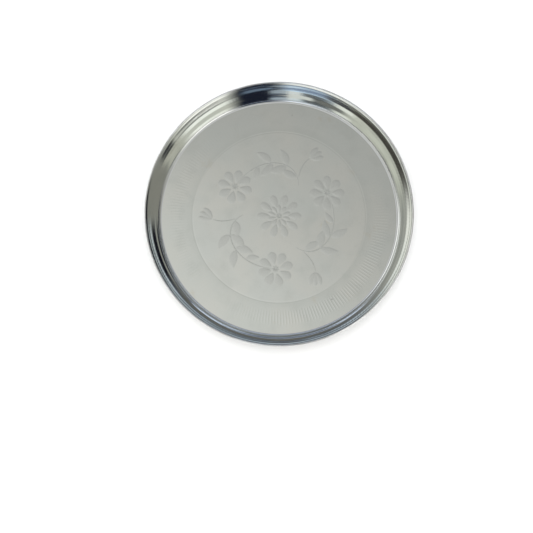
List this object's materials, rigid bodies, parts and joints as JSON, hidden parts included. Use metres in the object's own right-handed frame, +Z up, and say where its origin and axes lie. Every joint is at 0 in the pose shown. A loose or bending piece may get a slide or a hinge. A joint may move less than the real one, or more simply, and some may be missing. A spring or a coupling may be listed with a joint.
{
  "type": "steel dinner plate",
  "caption": "Round pressed stainless steel dinner plate with a flat satin base, a ring line, a leaning mirror-polished side wall and a rolled rim.",
  "frame": {"origin": "on the plate's axis, on the surface it stands on, in the middle of the base's underside", "axes": "+Z up along the plate's axis; +X and +Y lie in the base, and the plate is round, so any side can face the front"},
  "size_m": [0.28, 0.28, 0.029],
  "materials": {
    "satin_base": "soft polish with a faint etched decoration above, drawn steel below",
    "mirror_wall": "mirror polish inside, drawn steel with upright streaks outside",
    "polished_rim": "polished"
  },
  "bodies": {
    "root": {"base_panel": "satin_base", "side_wall": "mirror_wall", "rolled_rim": "polished_rim"}
  },
  "joints": []
}
